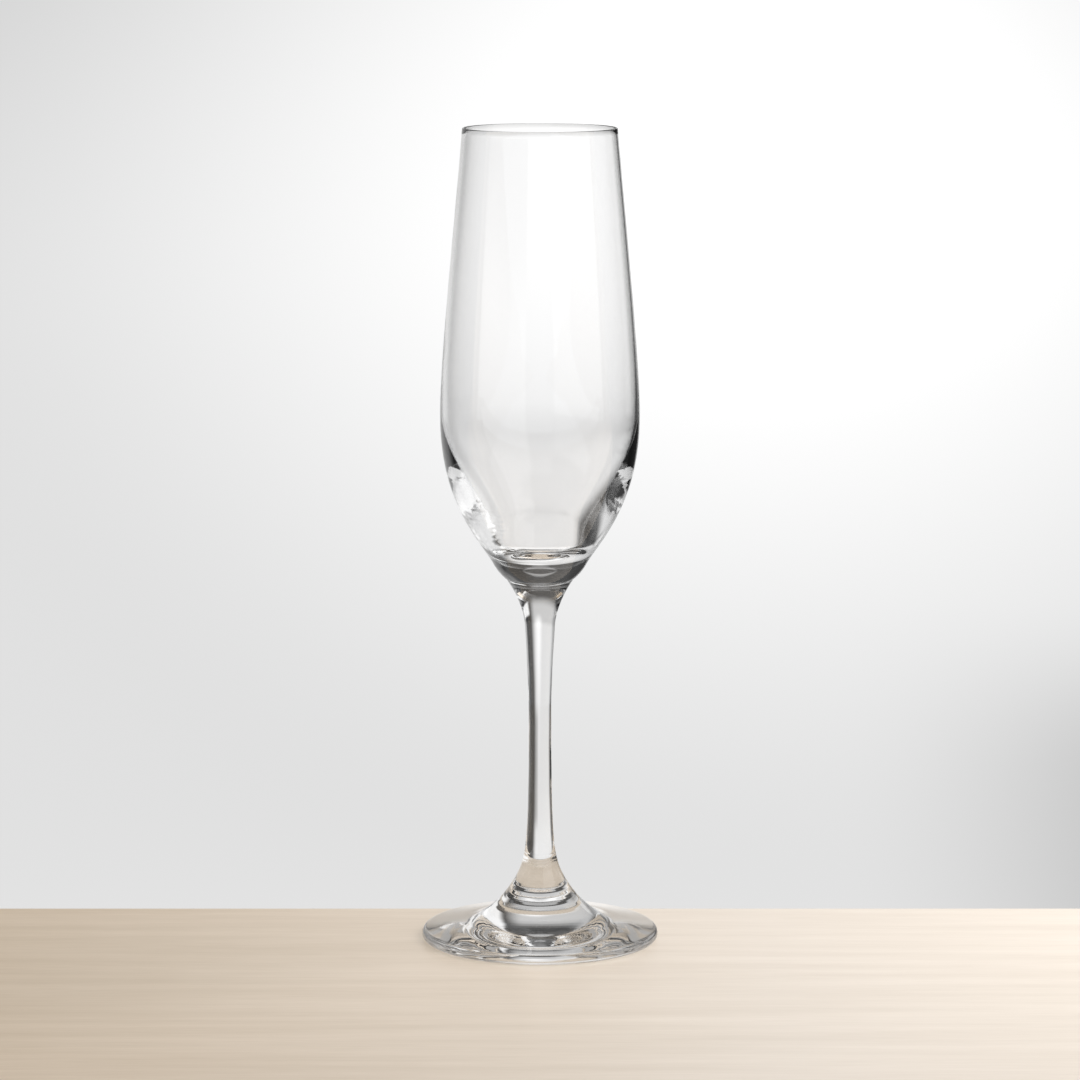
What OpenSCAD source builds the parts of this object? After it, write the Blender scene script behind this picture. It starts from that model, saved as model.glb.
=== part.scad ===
// Champagne flute in clear glass: a thin-walled bowl, a drawn solid stem and a round foot.
// The three are made one after another and fused hot, each convex end bedded in a dished seat.
// Millimetres, +Z up, origin on the axis at the height of the table that the foot stands on.

/* [Bowl] */
// Height of the rim, which is the height of the whole glass
rim_h = 225; // [215:1:240]
// Outside diameter at the rim
rim_d = 42.3; // [39:0.1:46]
// Thickness of the wall at the rim
rim_wall = 0.6; // [0.5:0.05:0.9]
// Outward lean of the wall below the rim, in mm for each mm down
rim_lean = 0.086; // [0.04:0.002:0.12]
// Outside diameter at the belly, the widest place
belly_d = 54.7; // [51:0.1:60]
// Height of the belly
belly_h = 146; // [140:1:152]
// Thickness of the wall on the long side between belly and rim
side_wall = 0.55; // [0.5:0.05:0.8]
// Thickness of the wall at the belly
belly_wall = 1.15; // [0.9:0.05:1.5]
// Outside diameter at the heel, where the bowl rounds in towards the stem
heel_d = 25.6; // [24:0.1:28]
// Height of the heel
heel_h = 105.4; // [104:0.1:107]
// Height of the lowest point of the inside
floor_h = 108.8; // [107:0.1:110]
// Inside diameter where the rounded floor has turned up into the side
well_d = 25; // [22:0.1:27]
// Height of that place
well_h = 114.2; // [113:0.1:116]

/* [Stem] */
// Diameter of the weld between bowl and stem
bowl_weld_d = 18.6; // [17:0.1:20]
// Height of that weld at its edge
bowl_weld_h = 101.2; // [100:0.1:102.5]
// Diameter of the neck, where the flare under the bowl ends
neck_d = 8.3; // [7:0.1:10]
// Height of the neck
neck_h = 88; // [84:1:91]
// Diameter at the waist, the thinnest place
waist_d = 6.2; // [5.6:0.1:7.2]
// Height of the waist
waist_h = 62; // [56:1:68]
// Diameter of the weld between stem and foot
foot_weld_d = 9.6; // [8.4:0.1:11]
// Height of that weld at its edge
foot_weld_h = 22.3; // [20:0.1:25]

/* [Foot] */
// Diameter of the foot
foot_d = 65.6; // [63:0.2:72]
// Thickness of the foot at its edge
edge_t = 3; // [2.8:0.1:4]
// Diameter where the cone under the stem runs out on the plate
plate_d = 41.4; // [38:0.2:46]
// Thickness of the foot at that diameter
plate_t = 5; // [4.5:0.1:6]
// Inner diameter of the flat ring that the glass stands on
ring_d = 58; // [50:0.5:60]
// Height of the hollow inside that ring
hollow_h = 0.35; // [0.2:0.05:1]

/* [Hidden] */
$fn = 96;

// Straight steps along each curve of an outline
steps = 16;
// Depth of the dished seat in each weld
bowl_seat = 1.4;
foot_seat = 0.8;
// Radii of the foot's round edge, above and below
edge_top_r = 1.5;
edge_low_r = 1.1;

rim_r = rim_d / 2;
belly_r = belly_d / 2;
heel_r = heel_d / 2;
well_r = well_d / 2;
bowl_weld_r = bowl_weld_d / 2;
neck_r = neck_d / 2;
waist_r = waist_d / 2;
foot_weld_r = foot_weld_d / 2;
foot_r = foot_d / 2;
plate_r = plate_d / 2;
ring_r = ring_d / 2;

// Heights that the curves' reach is a share of, and the height where the rim's round begins
bowl_h = rim_h - belly_h;
belly_drop = belly_h - heel_h;
rim_edge_h = rim_h - rim_wall / 2;
well_rise = well_h - floor_h;

// Points from a to d, leaving a towards b and reaching d from c; d itself is left to the next curve
function curve(a, b, c, d) = [
    for (i = [0 : steps - 1])
        let (t = i / steps, s = 1 - t)
        s * s * s * a + 3 * s * s * t * b + 3 * s * t * t * c + t * t * t * d
];

// Points on a round of radius r about centre, from angle a to angle b, both ends included
function round_edge(centre, r, a, b) = [
    for (i = [0 : steps / 2])
        let (angle = a + (b - a) * 2 * i / steps)
        centre + r * [cos(angle), sin(angle)]
];

// Points on a weld's face, from its edge in to the axis: a cap of the given sag, bulging down
function weld_face(r, h, sag) =
    let (cap_r = (r * r + sag * sag) / (2 * sag), reach = asin(r / cap_r))
    [
        for (i = [0 : steps / 2])
            let (angle = reach * (1 - 2 * i / steps))
            [cap_r * sin(angle), h - sag + cap_r * (1 - cos(angle))]
    ];

// The same points from the axis out to the edge
function reversed(points) = [for (i = [len(points) - 1 : -1 : 0]) points[i]];

// Outside of the bowl, from the rim down to the weld
bowl_outside = concat(
    curve(
        [rim_r, rim_edge_h],
        [rim_r + rim_lean * 0.4 * bowl_h, rim_edge_h - 0.4 * bowl_h],
        [belly_r, belly_h + 0.2 * bowl_h],
        [belly_r, belly_h]
    ),
    curve(
        [belly_r, belly_h],
        [belly_r, belly_h - 0.6 * belly_drop],
        [heel_r + 3.1, heel_h + 5.8],
        [heel_r, heel_h]
    ),
    curve(
        [heel_r, heel_h],
        [heel_r - 0.9, heel_h - 1.7],
        [bowl_weld_r + 1.2, bowl_weld_h + 0.9],
        [bowl_weld_r, bowl_weld_h]
    )
);

// Inside of the bowl, from its lowest point up to the rim
bowl_inside = concat(
    curve(
        [0, floor_h],
        [0.6 * well_r, floor_h],
        [0.88 * well_r, well_h - 0.5 * well_rise],
        [well_r, well_h]
    ),
    curve(
        [well_r, well_h],
        [1.264 * well_r, well_h + 1.1 * well_rise],
        [belly_r - belly_wall - 0.6, belly_h - 0.5 * (belly_h - well_h)],
        [belly_r - belly_wall, belly_h]
    ),
    curve(
        [belly_r - belly_wall, belly_h],
        [belly_r - side_wall, belly_h + 0.2 * bowl_h],
        [rim_r - side_wall + rim_lean * 0.4 * bowl_h, rim_edge_h - 0.4 * bowl_h],
        [rim_r - rim_wall, rim_edge_h]
    )
);

// Fire-polished rim, from the inside over to the outside
rim_round = round_edge([rim_r - rim_wall / 2, rim_edge_h], rim_wall / 2, 180, 0);

// Outside of the stem, from the weld under the bowl down to the weld on the foot
stem_outside = concat(
    curve(
        [bowl_weld_r, bowl_weld_h],
        [bowl_weld_r - 2.1, bowl_weld_h - 2.9],
        [neck_r + 0.3, neck_h + 5.1],
        [neck_r, neck_h]
    ),
    curve(
        [neck_r, neck_h],
        [neck_r - 0.3, neck_h - 5],
        [waist_r, waist_h + 10],
        [waist_r, waist_h]
    ),
    curve(
        [waist_r, waist_h],
        [waist_r, waist_h - 10],
        [foot_weld_r - 1.7, foot_weld_h + 4.7],
        [foot_weld_r, foot_weld_h]
    )
);

// Top of the foot, from the weld down the cone and out over the plate
foot_top = concat(
    curve(
        [foot_weld_r, foot_weld_h],
        [foot_weld_r + 1, foot_weld_h - 5.6],
        [plate_r - 7.1, plate_t + 0.9],
        [plate_r, plate_t]
    ),
    [[plate_r, plate_t]],
    round_edge([foot_r - edge_top_r, edge_t - edge_top_r], edge_top_r, 80, 0)
);

// Underside of the foot, from its edge over the flat ring to the middle of the hollow
foot_under = concat(
    round_edge([foot_r - edge_low_r, edge_low_r], edge_low_r, 0, -90),
    curve([ring_r, 0], [ring_r * 0.7, hollow_h * 0.6], [ring_r * 0.4, hollow_h], [0, hollow_h]),
    [[0, hollow_h]]
);

// Thin-walled bowl, with a rounded rim and a thick base that ends in a shallow button
module bowl() {
    color([0.92, 0.95, 0.95, 0.3])
        rotate_extrude()
            polygon(concat(
                bowl_outside,
                weld_face(bowl_weld_r, bowl_weld_h, bowl_seat),
                bowl_inside,
                rim_round
            ));
}

// Solid drawn stem, flared at both ends
module stem() {
    color([0.85, 0.88, 0.88, 0.4])
        rotate_extrude()
            polygon(concat(
                stem_outside,
                weld_face(foot_weld_r, foot_weld_h, foot_seat),
                reversed(weld_face(bowl_weld_r, bowl_weld_h, bowl_seat))
            ));
}

// Round foot: a cone under the stem, a plate that thins to a rounded edge, and a hollow underside
module foot() {
    color([0.9, 0.93, 0.92, 0.35])
        rotate_extrude()
            polygon(concat(
                foot_top,
                foot_under,
                reversed(weld_face(foot_weld_r, foot_weld_h, foot_seat))
            ));
}

bowl();
stem();
foot();
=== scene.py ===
"""Champagne flute in clear glass: a blown bowl, a drawn stem and a coned foot, fused hot.

Every length is in metres. Heights and the outer radii come from the frame; the sizes of
what lies between them are written where the piece is made.
"""

import math

import bpy
import numpy as np
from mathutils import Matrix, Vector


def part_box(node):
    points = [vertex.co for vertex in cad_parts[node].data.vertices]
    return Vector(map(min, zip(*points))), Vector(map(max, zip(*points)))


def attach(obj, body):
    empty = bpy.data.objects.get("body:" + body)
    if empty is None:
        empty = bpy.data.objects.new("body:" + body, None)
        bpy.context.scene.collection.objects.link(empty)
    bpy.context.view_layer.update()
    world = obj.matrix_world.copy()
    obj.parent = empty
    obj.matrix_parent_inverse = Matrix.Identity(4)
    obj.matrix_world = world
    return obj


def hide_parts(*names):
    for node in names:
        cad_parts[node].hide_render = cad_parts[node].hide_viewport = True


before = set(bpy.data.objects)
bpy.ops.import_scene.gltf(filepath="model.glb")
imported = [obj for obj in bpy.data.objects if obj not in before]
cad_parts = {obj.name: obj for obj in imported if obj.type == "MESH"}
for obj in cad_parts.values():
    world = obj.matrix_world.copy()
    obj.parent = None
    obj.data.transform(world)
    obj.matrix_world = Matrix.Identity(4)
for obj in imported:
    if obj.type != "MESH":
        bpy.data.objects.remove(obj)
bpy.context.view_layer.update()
MM = 0.001


# ---------------------------------------------------------------------------------------
# Bowl: blown from one gather of clear glass. The wall is thin, leans in to a rim that was
# cut and fire-polished round, and thickens at its base into a button for the stem.
# ---------------------------------------------------------------------------------------

# Points in each ring of a turned piece, and rings in each weld's face
AROUND = 192
WELD_STEPS = 10

bowl_low, bowl_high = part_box("bowl")
stem_low, stem_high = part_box("stem")

rim_h = bowl_high.z
rim_r = 21.15 * MM
rim_wall = 0.6 * MM
rim_lean = 0.086
belly_h = 146 * MM
belly_r = bowl_high.x
belly_wall = 1.15 * MM
side_wall = 0.55 * MM
heel_h = 105.4 * MM
heel_r = 12.8 * MM
floor_h = 108.8 * MM
well_h = 114.2 * MM
well_r = 12.5 * MM
bowl_weld_h = stem_high.z
bowl_weld_r = stem_high.x
bowl_seat = stem_high.z - bowl_low.z


def curve(a, b, c, d, steps):
    """Points on the cubic that leaves a towards b and comes into d from c, without d itself:
    s^3 a + 3 s^2 t b + 3 s t^2 c + t^3 d, for t from 0 to 1 and s = 1 - t."""
    t = np.linspace(0, 1, steps, endpoint=False)[:, None]
    s = 1 - t
    a, b, c, d = (np.array(p, float) for p in (a, b, c, d))
    return s**3 * a + 3 * s**2 * t * b + 3 * s * t**2 * c + t**3 * d


def arc(centre, radius, start, stop, steps):
    """Points on a circle from angle start to angle stop, in degrees, both ends included:
    centre + radius (cos, sin)."""
    angle = np.radians(np.linspace(start, stop, steps + 1))
    return np.array(centre) + radius * np.stack([np.cos(angle), np.sin(angle)], 1)


def weld_face(radius, height, sag):
    """Points across a weld from the axis to its edge, edge excluded: a ball of radius
    (r^2 + sag^2) / 2 sag, whose lowest point lies sag below the edge's height."""
    ball = (radius**2 + sag**2) / (2 * sag)
    angle = np.linspace(0, math.asin(radius / ball), WELD_STEPS, endpoint=False)
    return np.stack([ball * np.sin(angle), height - sag + ball * (1 - np.cos(angle))], 1)


def turned(name, outline, weld_below, weld_above):
    """A closed surface of revolution. Each point (r, h) of the outline, which runs from the
    lower pole out and up to the upper pole, is carried round the axis to
    (r cos a, r sin a, h); the two poles are one point each, closed by a fan of triangles.
    The first and last few bands are weld faces where the flags say so."""
    a = np.linspace(0, 2 * np.pi, AROUND, endpoint=False)
    radius, height = outline[1:-1].T
    rings = np.stack(
        [np.outer(radius, np.cos(a)), np.outer(radius, np.sin(a)), np.repeat(height[:, None], AROUND, 1)],
        2,
    ).reshape(-1, 3)
    poles = [(0, 0, outline[0, 1]), (0, 0, outline[-1, 1])]
    verts = np.vstack([rings, poles])

    bands = len(radius) - 1
    here = np.arange(AROUND)
    after = (here + 1) % AROUND
    row = np.arange(bands)[:, None] * AROUND
    quads = np.stack([row + here, row + after, row + AROUND + after, row + AROUND + here], 2)
    low_pole, high_pole = len(rings), len(rings) + 1
    low_fan = np.stack([np.full(AROUND, low_pole), after, here], 1)
    top = bands * AROUND
    high_fan = np.stack([top + here, top + after, np.full(AROUND, high_pole)], 1)

    mesh = bpy.data.meshes.new(name)
    faces = low_fan.tolist() + quads.reshape(-1, 4).tolist() + high_fan.tolist()
    mesh.from_pydata(verts.tolist(), [], faces)

    band_of_face = np.repeat(np.arange(bands + 2), AROUND)
    is_weld = np.zeros(len(faces), bool)
    if weld_below:
        is_weld |= band_of_face < WELD_STEPS
    if weld_above:
        is_weld |= band_of_face >= bands + 2 - WELD_STEPS
    mesh.polygons.foreach_set("material_index", is_weld.astype(np.int32))
    mesh.shade_smooth()
    mesh.set_sharp_from_angle(angle=math.radians(35))
    mesh.update()
    piece = bpy.data.objects.new(name, mesh)
    bpy.context.scene.collection.objects.link(piece)
    return piece


def between(value, low, high, soft):
    """1 from low to high, 0 beyond soft outside them, and a straight slope between."""
    return np.clip((value - low) / soft + 1, 0, 1) * np.clip((high - value) / soft + 1, 0, 1)


def uneven(piece, depth):
    """Moves each point of a turned piece straight off the axis by depth(angle, height, radius),
    as hand-worked glass is never quite round: (x, y) is scaled by 1 + depth / radius."""
    flat = np.empty(3 * len(piece.data.vertices))
    piece.data.vertices.foreach_get("co", flat)
    place = flat.reshape(-1, 3)
    radius = np.maximum(np.hypot(place[:, 0], place[:, 1]), 0.01 * MM)
    angle = np.arctan2(place[:, 1], place[:, 0])
    place[:, :2] *= (1 + depth(angle, place[:, 2], radius) / radius)[:, None]
    piece.data.vertices.foreach_set("co", flat)
    piece.data.update()


bowl_h = rim_h - belly_h
belly_drop = belly_h - heel_h
rim_edge_h = rim_h - rim_wall / 2
inner_r = belly_r - belly_wall
well_rise = well_h - floor_h

bowl_outside = np.vstack([
    curve((rim_r, rim_edge_h),
          (rim_r + rim_lean * 0.4 * bowl_h, rim_edge_h - 0.4 * bowl_h),
          (belly_r, belly_h + 0.2 * bowl_h),
          (belly_r, belly_h), 60),
    curve((belly_r, belly_h),
          (belly_r, belly_h - 0.6 * belly_drop),
          (heel_r + 3.1 * MM, heel_h + 5.8 * MM),
          (heel_r, heel_h), 60),
    curve((heel_r, heel_h),
          (heel_r - 0.9 * MM, heel_h - 1.7 * MM),
          (bowl_weld_r + 1.2 * MM, bowl_weld_h + 0.9 * MM),
          (bowl_weld_r, bowl_weld_h), 12),
    [(bowl_weld_r, bowl_weld_h)],
])
bowl_inside = np.vstack([
    curve((0, floor_h),
          (0.6 * well_r, floor_h),
          (0.88 * well_r, well_h - 0.5 * well_rise),
          (well_r, well_h), 40),
    curve((well_r, well_h),
          (1.264 * well_r, well_h + 1.1 * well_rise),
          (inner_r - 0.6 * MM, belly_h - 0.5 * (belly_h - well_h)),
          (inner_r, belly_h), 70),
    curve((inner_r, belly_h),
          (belly_r - side_wall, belly_h + 0.2 * bowl_h),
          (rim_r - side_wall + rim_lean * 0.4 * bowl_h, rim_edge_h - 0.4 * bowl_h),
          (rim_r - rim_wall, rim_edge_h), 60),
])
rim_round = arc((rim_r - rim_wall / 2, rim_edge_h), rim_wall / 2, 0, 180, 12)

bowl = turned(
    "flute_bowl",
    np.vstack([
        weld_face(bowl_weld_r, bowl_weld_h, bowl_seat),
        bowl_outside[::-1],
        rim_round[1:-1],
        bowl_inside[::-1],
    ]),
    weld_below=True,
    weld_above=False,
)


def bowl_unevenness(angle, height, radius):
    """Slow lobes along the wall, three and five to a turn, and chill marks where the thick
    base cooled first: eight crossed waves, 1.3 to 3.9 mm long, on one side of the inside."""
    lobes = 0.02 * np.cos(3 * angle + height / (30 * MM)) + 0.015 * np.cos(5 * angle - height / (17 * MM))
    lobes = lobes * MM * between(height, 125 * MM, 215 * MM, 9 * MM)
    marks = np.zeros_like(height)
    for turn in range(8):
        way = 2.4 * turn
        length = (0.2 + 0.06 * turn) * MM
        marks += np.cos((height * np.cos(way) + radius * angle * np.sin(way)) / length + 1.7 * turn)
    inside = np.interp(height, bowl_inside[:, 1], bowl_inside[:, 0]) + 1.2 * MM > radius
    side = between(np.abs(angle), 2.2, 3.2, 0.5) * between(height, 114 * MM, 122 * MM, 4 * MM)
    return lobes + 0.007 * MM * marks * side * inside


uneven(bowl, bowl_unevenness)


class Wire:
    """A node's output socket that adds, multiplies and so on like a number, a Math node a step."""

    def __init__(self, tree, socket=None):
        self.tree = tree
        self.socket = socket

    def node(self, kind, settings, inputs, out=0):
        """Adds a node of that kind: its settings first, then its sockets' values or links."""
        made = self.tree.nodes.new("ShaderNode" + kind)
        for name, value in settings.items():
            setattr(made, name, value)
        for name, value in inputs.items():
            if isinstance(value, Wire):
                self.tree.links.new(value.socket, made.inputs[name])
            else:
                made.inputs[name].default_value = value
        return Wire(self.tree, made.outputs[out] if made.outputs else None)

    def math(self, operation, first, second=0.0):
        return self.node("Math", {"operation": operation}, {0: first, 1: second})

    def __add__(self, other):
        return self.math("ADD", self, other)

    def __mul__(self, other):
        return self.math("MULTIPLY", self, other)

    def __sub__(self, other):
        return self.math("SUBTRACT", self, other)

    def __rsub__(self, other):
        return self.math("SUBTRACT", other, self)

    __radd__ = __add__
    __rmul__ = __mul__


def material(name):
    """A material with an empty node tree, and a Wire to build in it."""
    made = bpy.data.materials.new(name)
    made.use_nodes = True
    made.node_tree.nodes.clear()
    return made, Wire(made.node_tree)


def clear_glass(name):
    """Clear soda glass: light bends through it, and a shadow ray passes with a little loss."""
    made, tree = material(name)
    place = tree.node("TexCoord", {}, {}, "Object")
    waves = tree.node("TexNoise", {}, {"Vector": place, "Scale": 90.0, "Detail": 1.0})
    smears = tree.node("TexNoise", {}, {"Vector": place, "Scale": 55.0, "Detail": 4.0})
    bump = tree.node("Bump", {}, {"Strength": 0.05, "Distance": 0.0002, "Height": waves})
    surface = tree.node(
        "BsdfPrincipled",
        {},
        {
            "Base Color": (1.0, 1.0, 1.0, 1),
            "Roughness": smears * 0.01,
            "IOR": 1.5,
            "Transmission Weight": 1.0,
            "Normal": bump,
        },
    )
    shadow_ray = tree.node("LightPath", {}, {}, "Is Shadow Ray")
    passing = tree.node("BsdfTransparent", {}, {"Color": (0.93, 0.935, 0.935, 1)})
    mixed = tree.node("MixShader", {}, {0: shadow_ray, 1: surface, 2: passing})
    tree.node("OutputMaterial", {}, {"Surface": mixed})
    return made


def weld(name):
    """The face of a weld: fused glass meets fused glass, so light passes straight through."""
    made, tree = material(name)
    surface = tree.node("BsdfPrincipled", {}, {"Base Color": (1, 1, 1, 1), "Alpha": 0.0})
    tree.node("OutputMaterial", {}, {"Surface": surface})
    return made


glass = clear_glass("clear_glass")
welded = weld("fused_weld")


def finish_piece(piece, node):
    """Gives a piece its glass and its weld faces' material, hides the CAD node that it stands for, and
    hangs it under the root body.
    """
    piece.data.materials.append(glass)
    piece.data.materials.append(welded)
    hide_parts(node)
    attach(piece, "root")


finish_piece(bowl, "bowl")


# ---------------------------------------------------------------------------------------
# Stem: a solid gather drawn down from under the bowl, widest at its two ends and thinnest
# near the middle. Its dished top takes the bowl's rounded end, and its own rounded lower end
# lies in the foot; both are fused hot.
# ---------------------------------------------------------------------------------------

foot_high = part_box("foot")[1]
neck_h = 88 * MM
neck_r = 4.15 * MM
waist_h = 62 * MM
waist_r = 3.1 * MM
foot_weld_h = foot_high.z
foot_weld_r = 4.8 * MM
foot_seat = foot_high.z - stem_low.z

stem_outside = np.vstack([
    curve((bowl_weld_r, bowl_weld_h),
          (bowl_weld_r - 2.1 * MM, bowl_weld_h - 2.9 * MM),
          (neck_r + 0.3 * MM, neck_h + 5.1 * MM),
          (neck_r, neck_h), 40),
    curve((neck_r, neck_h),
          (neck_r - 0.3 * MM, neck_h - 5 * MM),
          (waist_r, waist_h + 10 * MM),
          (waist_r, waist_h), 40),
    curve((waist_r, waist_h),
          (waist_r, waist_h - 10 * MM),
          (foot_weld_r - 1.7 * MM, foot_weld_h + 4.7 * MM),
          (foot_weld_r, foot_weld_h), 50),
    [(foot_weld_r, foot_weld_h)],
])
stem = turned(
    "flute_stem",
    np.vstack([
        weld_face(foot_weld_r, foot_weld_h, foot_seat),
        stem_outside[::-1],
        weld_face(bowl_weld_r, bowl_weld_h, bowl_seat)[::-1],
    ]),
    weld_below=True,
    weld_above=True,
)


def stem_unevenness(angle, height, radius):
    """Draw lines down the stem, a few hundredths of a millimetre, gone at the two welds."""
    lines = 0.02 * np.cos(4 * angle + height / (9 * MM)) + 0.012 * np.cos(9 * angle - height / (21 * MM))
    wander = 0.03 * np.cos(angle + height / (5 * MM)) * np.cos(height / (3.1 * MM))
    return (lines + wander) * MM * between(height, 34 * MM, 90 * MM, 9 * MM)


uneven(stem, stem_unevenness)
finish_piece(stem, "stem")


# ---------------------------------------------------------------------------------------
# Foot: a second gather of the same glass, worked with a block into a cone that runs out to
# a round plate. The edge is rounded, and the underside stands on a flat ring round a hollow.
# ---------------------------------------------------------------------------------------

foot_r = foot_high.x
edge_t = 3 * MM
edge_top_r = 1.5 * MM
edge_low_r = 1.1 * MM
plate_r = 20.7 * MM
plate_t = 5 * MM
# The ring stands this far off the table, so that light in the glass meets air under it
air = 0.03 * MM
ring_r = 29 * MM
hollow_h = 0.35 * MM

edge_top = arc((foot_r - edge_top_r, edge_t - edge_top_r), edge_top_r, 80, 0, 10)
foot_top = np.vstack([
    curve((foot_weld_r, foot_weld_h),
          (foot_weld_r + 1 * MM, foot_weld_h - 5.6 * MM),
          (plate_r - 7.1 * MM, plate_t + 0.9 * MM),
          (plate_r, plate_t), 220),
    curve((plate_r, plate_t),
          (plate_r + 2.5 * MM, plate_t - 0.32 * MM),
          edge_top[0] + np.array([-3 * MM, 0.5 * MM]),
          edge_top[0], 30),
    edge_top,
])
foot_under = np.vstack([
    arc((foot_r - edge_low_r, edge_low_r + air), edge_low_r, 0, -90, 10),
    curve((ring_r, air), (ring_r * 0.7, hollow_h * 0.6), (ring_r * 0.4, hollow_h), (0, hollow_h), 40),
    [(0, hollow_h)],
])
foot = turned(
    "flute_foot",
    np.vstack([
        foot_under[::-1],
        foot_top[::-1],
        weld_face(foot_weld_r, foot_weld_h, foot_seat)[::-1],
    ]),
    weld_below=False,
    weld_above=True,
)


def foot_unevenness(angle, height, radius):
    """Rings that the block left as the cone was turned, 1.1 mm apart, and a faint waviness
    of the plate."""
    rings = 0.007 * MM * np.cos(height / (0.17 * MM)) * between(height, 9 * MM, 16.5 * MM, 2 * MM)
    waves = 0.05 * MM * np.cos(2 * angle + 0.8) * between(radius, 20 * MM, 31 * MM, 4 * MM)
    return rings + waves * between(height, 2 * MM, 5 * MM, 1 * MM)


uneven(foot, foot_unevenness)
finish_piece(foot, "foot")


# ---------------------------------------------------------------------------------------
# Table: a pale maple board. The glass stands at its back edge, the grain runs from side to
# side, and the colour is painted paler and whiter towards the right: painted light and sheen.
# ---------------------------------------------------------------------------------------

table_front = -0.5
table_back = 32 * MM
table_reach = 1.4

mesh = bpy.data.meshes.new("table")
mesh.from_pydata(
    [(-table_reach, table_front, 0), (table_reach, table_front, 0),
     (table_reach, table_back, 0), (-table_reach, table_back, 0)],
    [], [(0, 1, 2, 3)],
)
table = bpy.data.objects.new("table", mesh)
bpy.context.scene.collection.objects.link(table)
made, tree = material("pale_maple")
place = tree.node("TexCoord", {}, {}, "Object")
along = tree.node("VectorMath", {"operation": "MULTIPLY"}, {0: place, 1: (1.2, 22.0, 1.0)})
bands = tree.node("TexNoise", {}, {"Vector": along, "Scale": 7.0, "Detail": 3.0})
pores = tree.node("VectorMath", {"operation": "MULTIPLY"}, {0: place, 1: (18.0, 420.0, 1.0)})
flecks = tree.node("TexNoise", {}, {"Vector": pores, "Scale": 4.0, "Detail": 2.0})
grain = 0.65 * bands + 0.35 * flecks
tone = tree.node("MapRange", {}, {"Value": grain, "From Min": 0.35, "From Max": 0.65})
tan = tree.node(
    "Mix", {"data_type": "RGBA"},
    {"Factor": tone, 6: (0.61, 0.475, 0.33, 1), 7: (0.71, 0.575, 0.43, 1)}, 2,
)
# The paler, whiter grain colour is painted light and sheen, not wear of the wood
painted_lit_tan = tree.node(
    "Mix", {"data_type": "RGBA"},
    {"Factor": tone, 6: (0.63, 0.555, 0.475, 1), 7: (0.71, 0.635, 0.555, 1)}, 2,
)
# Painted light and sheen: the board's colour goes from the tan to the paler, whiter grain towards the
# right
across = tree.node("VectorMath", {"operation": "DOT_PRODUCT"}, {0: place, 1: (1, 0, 0)}, "Value")
painted_light_right = tree.node("MapRange", {}, {"Value": across, "From Min": -0.16, "From Max": 0.06})
colour = tree.node("Mix", {"data_type": "RGBA"}, {"Factor": painted_light_right, 6: tan, 7: painted_lit_tan}, 2)
surface = tree.node("BsdfPrincipled", {}, {"Base Color": colour, "Roughness": 0.26 + 0.1 * bands})
tree.node("OutputMaterial", {}, {"Surface": surface})
table.data.materials.append(made)


# ---------------------------------------------------------------------------------------
# Light: a pale sweep behind the glass, a soft box to each side of the viewer, a plain room
# between the boxes and a dark ceiling. They are drawn in the sky by direction, because the
# glass shows them all, bent and mirrored. A lamp at the upper right lights the table.
# ---------------------------------------------------------------------------------------

world = bpy.data.worlds.new("studio")
bpy.context.scene.world = world
world.use_nodes = True
world.node_tree.nodes.clear()
sky = Wire(world.node_tree)
toward = sky.node("TexCoord", {}, {}, "Generated")
side, ahead, up = (sky.node("SeparateXYZ", {}, {"Vector": toward}, axis) for axis in "XYZ")

# Degrees to the right of straight behind the glass, and degrees above the horizon
bearing = sky.math("ARCTAN2", side, ahead) * (180 / math.pi)
lift = sky.math("ARCSINE", up) * (180 / math.pi)


def ramp(value, start, stop):
    """0 below start, 1 above stop, and a smooth rise between."""
    return sky.node(
        "MapRange", {"interpolation_type": "SMOOTHSTEP"},
        {"Value": value, "From Min": start, "From Max": stop},
    )


def band(value, low, high, soft):
    """1 between low and high, falling to 0 over soft degrees outside them."""
    return ramp(value, low - soft, low) * (1 - ramp(value, high, high + soft))


# The sweep: a round glow 3 degrees to the right of the glass, on an even pale grey
east = (bearing - 3) * (1 / 12.5)
north = (lift + 2.5) * (1 / 11.5)
far_off = sky.math("SQRT", east * east + north * north)
sweep = 0.56 + 0.14 * (1 - ramp(lift, -6, 1)) + 0.4 * (1 - ramp(far_off, 0, 1))

# It is in shade at its lower right and paler where it turns forward under the table, and
# it ends to the left, to the right, above and below
sweep = sweep * (1 - 0.42 * ramp(bearing, 4, 11) * band(lift, -15, -12, 2.5))
sweep = sweep + 0.09 * ramp(0 - lift, 12, 19)
sweep = sweep * (1 - ramp(bearing, 10, 25)) * ramp(bearing, -54, -38)
sweep = sweep * (1 - 0.95 * ramp(lift, 13, 28)) * ramp(lift, -56, -46)

# What stands about it: a window behind on the right, and grey walls on both sides
window = 0.95 * band(bearing, 30, 50, 8) * band(lift, 9, 20, 4)
sides = band(bearing, 52, 96, 8) + band(bearing, -96, -52, 8)
sides = sides * (0.07 + 0.28 * ramp(lift, -9, -6)) * (1 - ramp(lift, 20, 23))

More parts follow.
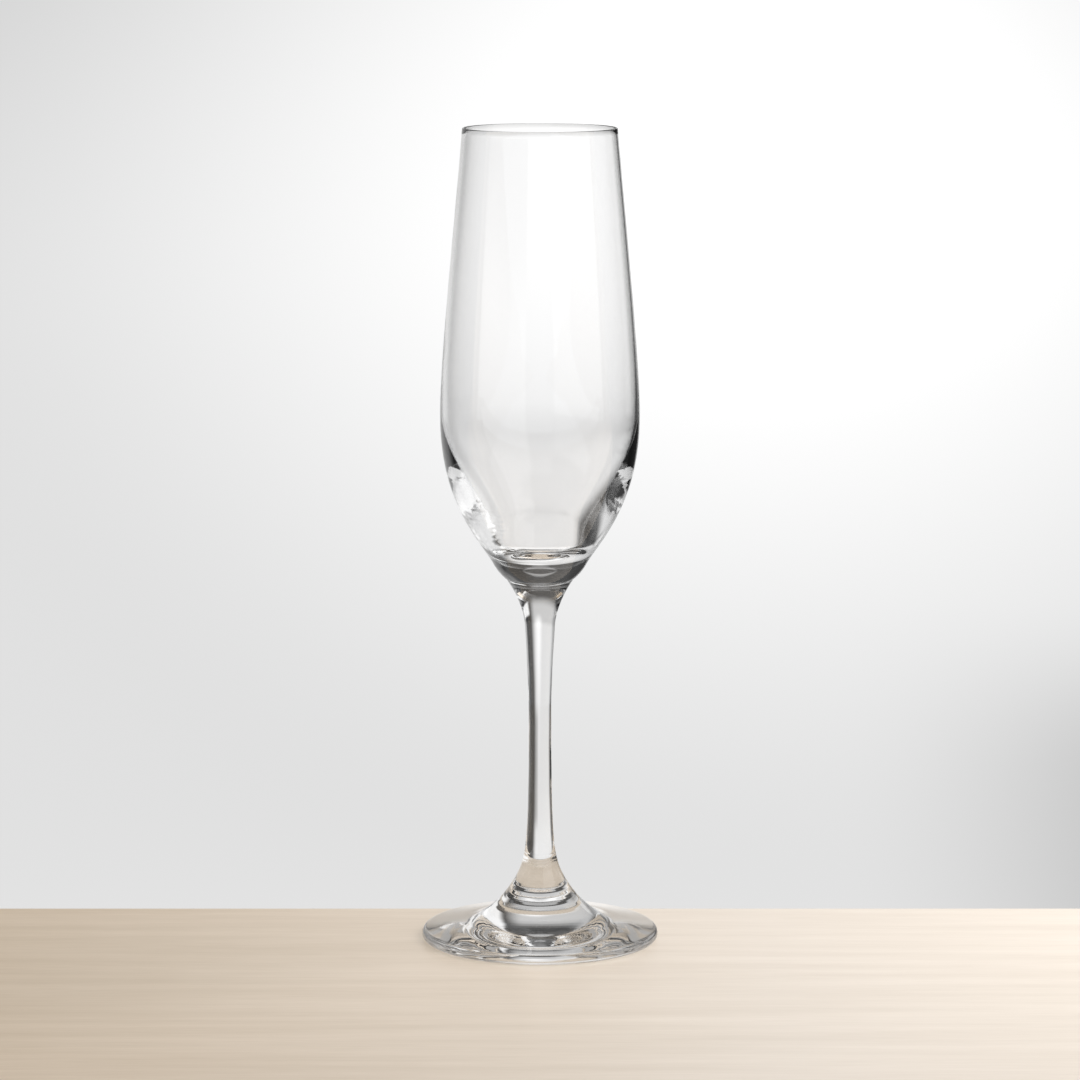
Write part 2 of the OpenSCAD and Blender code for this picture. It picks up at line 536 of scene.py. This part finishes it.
# On the viewer's side: the two soft boxes, and the room between them
right_box = 1.02 * band(bearing, 104, 161, 4) * band(lift, -40, 46, 5)
left_box = 1.05 * band(bearing, -161, -104, 4) * band(lift, -60, 2, 5)
room = 0.8 * (1 - band(bearing, -161, 161, 4)) * band(lift, -40, 18, 6)

# Below and above: the floor on the left, and two patches of a ceiling that is else dark
floor_left = 0.32 * (1 - ramp(lift, -44, -38)) * (1 - ramp(bearing, 4, 16)) * ramp(bearing, -104, -90)
overhead = 0.35 * band(lift, 44, 58, 4) * band(bearing, -16, 16, 8) + 0.15 * ramp(lift, 62, 70)

darkest = 0.05
level = darkest + window + sides + sweep + right_box + left_box + room + floor_left + overhead
glow = sky.node("Background", {}, {"Color": (1, 1, 1, 1), "Strength": level})
sky.node("OutputWorld", {}, {"Surface": glow})

lamp = bpy.data.lights.new("table_lamp", "AREA")
lamp.shape = "SQUARE"
lamp.size = 0.4
lamp.energy = 7.9
table_lamp = bpy.data.objects.new("table_lamp", lamp)
bpy.context.scene.collection.objects.link(table_lamp)
table_lamp.location = (0.45, 0.1, 0.55)
aim = -table_lamp.location
table_lamp.rotation_euler = aim.to_track_quat("-Z", "Y").to_euler()
# The sky already holds what the glass should show, so the lamp is hidden from it
table_lamp.visible_camera = False
table_lamp.visible_glossy = False
table_lamp.visible_transmission = False


# ---------------------------------------------------------------------------------------
# Camera: straight in front of the glass, a little above the rim and tilted down, with a
# long lens. Many bounces are allowed, because light crosses and recrosses the thick glass.
# ---------------------------------------------------------------------------------------

camera_away = 1.150
camera_h = 0.2916
camera_tilt = 8.88

view = bpy.data.cameras.new("camera")
view.sensor_width = 36
view.lens = 141.06
camera = bpy.data.objects.new("camera", view)
bpy.context.scene.collection.objects.link(camera)
camera.location = (0, -camera_away, camera_h)
camera.rotation_euler = (math.radians(90 - camera_tilt), 0, 0)
bpy.context.scene.camera = camera

bpy.context.scene.view_settings.view_transform = "Standard"
cycles = bpy.context.scene.cycles
cycles.max_bounces = 48
cycles.transmission_bounces = 48
cycles.glossy_bounces = 12
cycles.transparent_max_bounces = 24
cycles.caustics_refractive = False
